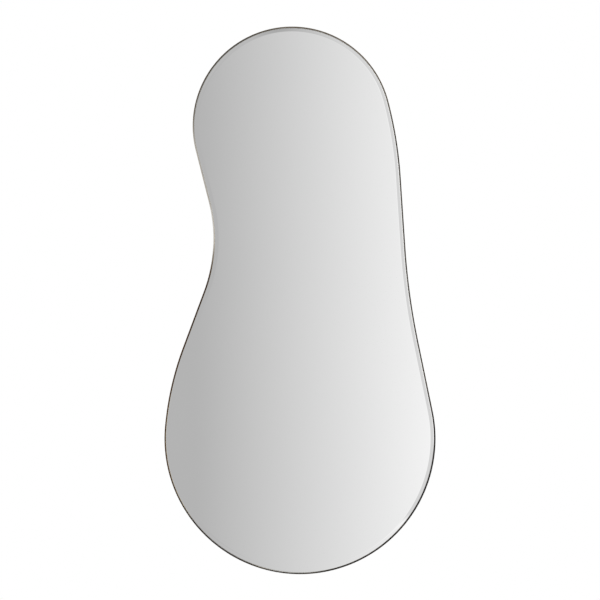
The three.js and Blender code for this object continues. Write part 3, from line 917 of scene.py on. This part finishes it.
def mirror_glass():
    """The bevelled glass, silvered as seen from the front, ground at its edge, painted behind."""
    piece = outline_plate("bevelled_glass", glass_profile(), smooth=32)
    fit(piece, "mirror", "silvered_glass", SILVER, RIM, PAINT, nodes=["mirror_glass"])
    painted, ground = 0.9, -0.6  # how far such a face looks backwards at least
    for face in piece.data.polygons:
        if face.normal.y > painted:
            face.material_index = 2
        elif face.normal.y > ground:
            face.material_index = 1
    return piece


def sealant():
    """A thin bead of silicone, hollow in front, that fills the gap from the glass to the strip."""
    rim = next(y for inset, y in glass_profile() if inset == GLASS_EDGE)
    half = (GLASS_EDGE - STRIP_THICKNESS) / 2
    hollow = rounded(GLASS_EDGE - half, rim - SEALANT_CLIMB, half, math.pi, 0, 6)
    deep = rim + SEALANT_DEPTH
    points = at_foot([*hollow, (GLASS_EDGE, deep), (STRIP_THICKNESS, deep)])
    piece = draw([*points, points[0]])
    bpy.ops.mesh.remove_doubles(threshold=MERGE)
    sweep_outline()
    piece = close(piece, "sealant_bead")
    return fit(piece, "mirror", "white_foam", SILICONE)


def backing_board():
    """The board with its rounded rim, and a blind pilot hole for every screw."""
    edge, r = BOARD_EDGE, BOARD_ROUND
    front = rounded(edge + r, BOARD_FRONT + r, r, -math.pi / 2, -math.pi, 3)
    back = rounded(edge + r, BOARD_BACK - r, r, math.pi, math.pi / 2, 3)
    inner = edge + r + FLAT_RIM
    piece = outline_plate("mdf_board", [(inner, BOARD_FRONT), *front, *back, (inner, BOARD_BACK)])
    deep = BOARD_BACK - PILOT_DEPTH
    for node in SCREWS:
        centre = middle(node)
        cut(piece, peg(centre.x, centre.z, deep, BOARD_BACK + r, PILOT_RADIUS, sides=16))
    shade(30)
    return fit(piece, "mirror", "fibreboard", MDF, nodes=["backing_board"])


def foam_tape(node):
    """A strip of tape whose pressed edges bulge a little."""
    low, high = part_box(node)
    piece = begin(
        bpy.ops.mesh.primitive_cube_add, size=1, location=(low + high) / 2, scale=high - low,
    )
    pick("EDGE", lambda edge: level(edge, Y))
    bpy.ops.mesh.bevel(offset=(high.y - low.y) * TAPE_BULGE, segments=3)
    piece = close(piece, f"{node}_strip")
    return fit(piece, "mirror", "white_foam", FOAM, nodes=[node])


# ---- Fittings ----


def turned(name, profile, sides, smooth=30):
    """A piece turned about the Y axis, from a profile of (radius, y) that ends on the axis."""
    piece = draw([Vector((radius, y, 0)) for radius, y in profile])
    turn((0, 0, 0), (0, 1, 0), math.tau, sides)
    return close(piece, name, smooth)


def screw(seat):
    """A pan head screw with a cross recess, whose head sits at y = seat."""
    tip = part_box(SCREWS[0])[0].y
    blunt, short = SCREW_TIP
    dome = rounded(0, 0, 1, 0, math.pi / 2, 8)
    rise = HEAD_HEIGHT - HEAD_EDGE
    piece = turned("pan_screw", [
        (0, tip),
        (SCREW_RADIUS * blunt, tip + SCREW_POINT * short),
        (SCREW_RADIUS, tip + SCREW_POINT),
        (SCREW_RADIUS, seat),
        (HEAD_RADIUS * HEAD_SEAT, seat),
        (HEAD_RADIUS, seat + HEAD_SEAT_RISE),
        *((HEAD_RADIUS * x, seat + HEAD_EDGE + rise * y) for x, y in dome),
    ], 32)
    top = seat + HEAD_HEIGHT
    for angle in (math.pi / 4, -math.pi / 4):
        bar = begin(
            bpy.ops.mesh.primitive_cube_add, size=1, location=(0, top, 0),
            rotation=(0, angle, 0), scale=(RECESS_LENGTH, 2 * RECESS_DEPTH, RECESS_WIDTH),
        )
        pick("FACE", lambda face: face.calc_center_median().y < top - SAME)
        bpy.ops.transform.resize(value=(RECESS_TAPER, 1, RECESS_TAPER))
        cut(piece, close(bar, "recess"))
    soften(piece, SCREW_ROUND)
    piece.data.materials.append(ZINC)
    return piece


def tab_place(number):
    """The place of a welded tab, from its screw's centre and the end of its upright."""
    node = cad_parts[f"frame_tab_{number}"]
    top = max(vertex.co.y for vertex in node.data.vertices)
    rim = [vertex.co for vertex in node.data.vertices if vertex.co.y > top - SAME]
    lip = sum(rim, Vector()) / len(rim)
    centre = middle(f"tab_screw_{number}")
    way = Vector((centre.x - lip.x, 0, centre.z - lip.z)).normalized()
    start = centre - way * TAB_HOLE_REACH
    facing = Matrix.Rotation(-math.atan2(way.z, way.x), 4, "Y")
    return Matrix.Translation((start.x, 0, start.z)) @ facing


def tab():
    """A bent plate, its foot running along +X from the strip, with rounded free corners."""
    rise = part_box("frame_tab_1")[1].y
    bend = TAB_BEND + TAB_THICKNESS
    piece = begin(
        bpy.ops.mesh.primitive_plane_add, size=1,
        location=(TAB_REACH, BOARD_BACK + TAB_THICKNESS / 2, 0),
        rotation=(0, math.pi / 2, 0), scale=(TAB_WIDTH, TAB_THICKNESS, 1),
    )
    push((bend - TAB_REACH, 0, 0))
    turn((bend, BOARD_BACK + bend, 0), (0, 0, 1), math.pi / 2, 8)
    push((0, rise - BOARD_BACK - bend, 0))
    free = TAB_REACH - SAME
    pick("EDGE", lambda edge: all(v.co.x > free for v in edge.verts) and level(edge, Z))
    bpy.ops.mesh.bevel(offset=TAB_CORNER, segments=8)
    piece = close(piece, "welded_tab")
    drill(piece, TAB_HOLE_REACH, 0, TAB_THICKNESS)
    soften(piece, PLATE_ROUND)
    piece.data.materials.append(BRONZE)
    return piece


def weld_bead(name, x, y, z):
    """A short rippled bead along Y, from drops laid one over the other."""
    piece = begin(
        bpy.ops.mesh.primitive_uv_sphere_add, segments=16, ring_count=10, radius=BEAD_RADIUS,
        location=(x, y, z), scale=(1, BEAD_SQUASH, 1),
    )
    close(piece, name)
    shape_with(
        piece, "ARRAY", count=BEAD_DROPS, use_relative_offset=False, use_constant_offset=True,
        constant_offset_displace=(0, BEAD_PITCH, 0),
    )
    shape_with(piece, "REMESH", mode="VOXEL", voxel_size=BEAD_GRAIN)
    shape_with(piece, "SMOOTH", factor=0.5, iterations=2)
    shade(60)
    piece.data.materials.append(BRONZE)
    return piece


def strap(node, holes):
    """A strap folded round the bar of its ring, with a round end and two screw holes."""
    low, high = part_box(node)
    x, half = (low.x + high.x) / 2, (high.x - low.x) / 2
    roll = (high.y - BOARD_BACK) / 2
    bar_y, bar_z = BOARD_BACK + roll, high.z - roll
    piece = begin(
        bpy.ops.mesh.primitive_plane_add, size=1,
        location=(x, BOARD_BACK + STRAP_THICKNESS / 2, bar_z),
        scale=(2 * half, STRAP_THICKNESS, 1),
    )
    push((0, 0, low.z - bar_z))
    foot = low.z + SAME
    pick("EDGE", lambda edge: all(v.co.z < foot for v in edge.verts) and level(edge, X))
    bpy.ops.mesh.bevel(offset=half * STRAP_END, segments=12)
    pick("FACE", lambda face: face.calc_center_median().z > bar_z - SAME)
    turn((x, bar_y, bar_z), (1, 0, 0), STRAP_WRAP, 26)
    piece = close(piece, f"{node}_folded")
    for hole in holes:
        centre = middle(hole)
        drill(piece, centre.x, centre.z, STRAP_THICKNESS)
    soften(piece, PLATE_ROUND)
    return fit(piece, "mirror", "zinc_steel", ZINC, nodes=[node])


def ring(node, body):
    """A D-ring of round wire, swept along its bar, corners, legs and round end."""
    low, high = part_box(node)
    x, y = (low.x + high.x) / 2, (low.y + high.y) / 2
    reach = WIRE_RADIUS * WIRE_FLATS
    bar_z = high.z - reach
    half = (high.x - low.x) / 2 - reach
    bow_z = low.z + reach + half
    piece = begin(
        bpy.ops.mesh.primitive_circle_add, vertices=20, radius=WIRE_RADIUS,
        location=(x, y, bar_z), rotation=(0, math.pi / 2, 0),
    )
    axis, corner = (0, 1, 0), half - WIRE_CORNER
    push((-corner, 0, 0))
    turn((x - corner, y, bar_z - WIRE_CORNER), axis, math.pi / 2, 8)
    push((0, 0, bow_z - bar_z + WIRE_CORNER))
    turn((x, y, bow_z), axis, math.pi, 32)
    push((0, 0, bar_z - WIRE_CORNER - bow_z))
    turn((x + corner, y, bar_z - WIRE_CORNER), axis, math.pi / 2, 8)
    push((-corner, 0, 0))
    piece = close(piece, f"{node}_wire", smooth=60)
    return fit(piece, body, "zinc_steel", ZINC, nodes=[node])


def bumper(node):
    """A moulded rubber button on its adhesive pad, with a shallow ring in its face."""
    low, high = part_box(node)
    radius = (high.x - low.x) / 2
    pad, face = radius * BUMPER_PAD, radius * BUMPER_FACE
    base = low.y + BUMPER_PAD_THICKNESS
    draw_start, draw_end = (base + rise for rise in BUMPER_FOOT)
    groove = high.y - GROOVE_DEPTH
    profile = [
        (0, low.y),
        (pad, low.y),
        (pad, base),
        (radius, base),
        (radius, draw_start),
        (radius * BUMPER_FOOT_DRAW, draw_end),
        *rounded(face, high.y - BUMPER_ROUND, BUMPER_ROUND, BUMPER_ROUND_START, math.pi / 2, 5),
        *((face * share, y) for share, y in zip(GROOVE, (high.y, groove, groove, high.y))),
        (0, high.y),
    ]
    piece = turned(f"{node}_button", profile, 48, smooth=35)
    centre = middle(node)
    piece.data.transform(Matrix.Translation((centre.x, 0, centre.z)))
    fit(piece, "mirror", "black_rubber", RUBBER, ADHESIVE, nodes=[node])
    for polygon in piece.data.polygons:
        if polygon.center.y < base - SAME:
            polygon.material_index = 1
    return piece


# ---- Assembly ----


def fit_screws(names, plate):
    """One screw, copied to each of its places, with its cross turned another way in each."""
    model = screw(BOARD_BACK + plate)
    for i, node in enumerate(names):
        centre = middle(node)
        cross = Matrix.Rotation(i * SCREW_TURN, 4, "Y")
        place = Matrix.Translation((centre.x, 0, centre.z)) @ cross
        fit(copy_to(model, f"{node}_pan_head", place), "mirror", "zinc_steel", nodes=[node])
    bpy.data.objects.remove(model, do_unlink=True)


def fit_tabs():
    """One tab with a bead at each side, copied to each of its places."""
    plate = tab()
    across = BEAD_RADIUS * BEAD_FROM_STRIP
    start = BOARD_BACK + BEAD_RADIUS * BEAD_SQUASH
    aside = TAB_WIDTH / 2 + BEAD_RADIUS * BEAD_FROM_TAB
    beads = [weld_bead("bead", across, start, side * aside) for side in (-1, 1)]
    for number in range(1, 9):
        place = tab_place(number)
        node = f"frame_tab_{number}"
        fit(copy_to(plate, f"{node}_bent", place), "mirror", "aged_bronze", nodes=[node])
        for bead, end in zip(beads, ("a", "b")):
            fit(copy_to(bead, f"tab_weld_{number}{end}", place), "mirror", "aged_bronze")
    for model in (plate, *beads):
        bpy.data.objects.remove(model, do_unlink=True)


def band_weld():
    """The bead that closes the strip, left unground where the board's recess hides it."""
    piece = weld_bead("band_weld", 0, BOARD_BACK + BEAD_RADIUS, FOOT + STRIP_THICKNESS)
    return fit(piece, "mirror", "aged_bronze")


frame_band()
mirror_glass()
sealant()
backing_board()
for i in range(5):
    foam_tape(f"foam_tape_{i + 1}")
fit_tabs()
band_weld()
fit_screws(TAB_SCREWS, TAB_THICKNESS)
for side in ("left", "right"):
    strap(f"hanger_strap_{side}", STRAP_SCREWS[side])
    fit_screws(STRAP_SCREWS[side], STRAP_THICKNESS)
    ring(f"hanger_ring_{side}", f"ring_{side}")
for i in range(4):
    bumper(f"bumper_{i + 1}")
